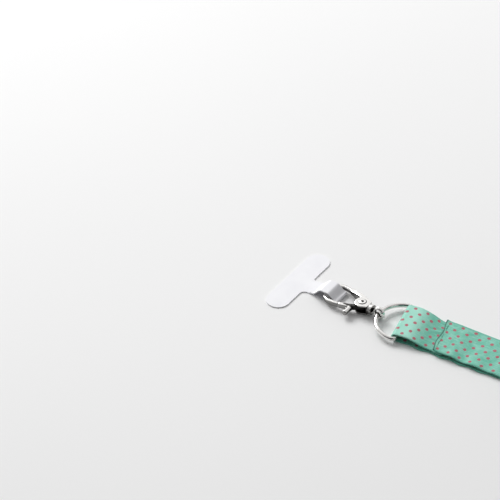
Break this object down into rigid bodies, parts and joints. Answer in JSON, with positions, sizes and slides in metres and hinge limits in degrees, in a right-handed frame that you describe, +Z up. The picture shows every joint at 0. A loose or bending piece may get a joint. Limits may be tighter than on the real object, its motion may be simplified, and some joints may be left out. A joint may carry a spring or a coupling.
{
  "type": "phone lanyard",
  "caption": "Neck strap for a telephone: a T-shaped film card for the case, a trigger clasp, a swivel eye, a D-ring and a dotted ribbon strap.",
  "frame": {"origin": "middle of the underside of the tether card's bar, on the surface that everything lies on", "axes": "+X along the card's stem towards the strap, +Z up, away from the surface"},
  "size_m": [0.2221, 0.0486, 0.0126],
  "materials": {
    "film": "satin white film",
    "nickel": "polished nickel plate",
    "spring_steel": "drawn wire",
    "ribbon": "woven polyester, mint green with small red dots",
    "tie_band": "soft knitted band"
  },
  "bodies": {
    "strap": {"neck_strap": "ribbon", "strap_tie": "tie_band"},
    "ring": {"d_ring": "nickel"},
    "swivel": {"swivel_eye": "nickel"},
    "clasp": {"hook_body": "nickel", "gate_rivet": "nickel", "gate_spring": "spring_steel"},
    "lever": {"gate": "nickel"},
    "card": {"tether_card": "film"}
  },
  "joints": [
    {"name": "ring_pivot", "type": "hinge", "parent": "strap", "child": "ring", "pos_m": [0.06448, -0.00014, 0.0024], "axis": [-0.2385, 0.9711, 0], "range_deg": [-75, 75]},
    {"name": "eye_pivot", "type": "hinge", "parent": "ring", "child": "swivel", "pos_m": [0.05045, -0.00134, 0.0031], "axis": [-0.0854, 0.9963, 0], "range_deg": [-75, 75]},
    {"name": "swivel_spin", "type": "hinge", "parent": "swivel", "child": "clasp", "pos_m": [0.05045, -0.00134, 0.0035], "axis": [0.9978, -0.0523, 0.0399], "continuous": true},
    {"name": "gate_hinge", "type": "hinge", "parent": "clasp", "child": "lever", "pos_m": [0.04007, -0.0008, 0.00308], "axis": [0.0399, -0.0021, -0.9992], "range_deg": [0, 28], "stiffness_Nm_per_rad": 0.02, "deforming": ["gate_spring"]},
    {"name": "card_swing", "type": "hinge", "parent": "clasp", "child": "card", "pos_m": [0.0189, 0, 0.00255], "axis": [0, 1, 0], "range_deg": [-15, 15]}
  ]
}
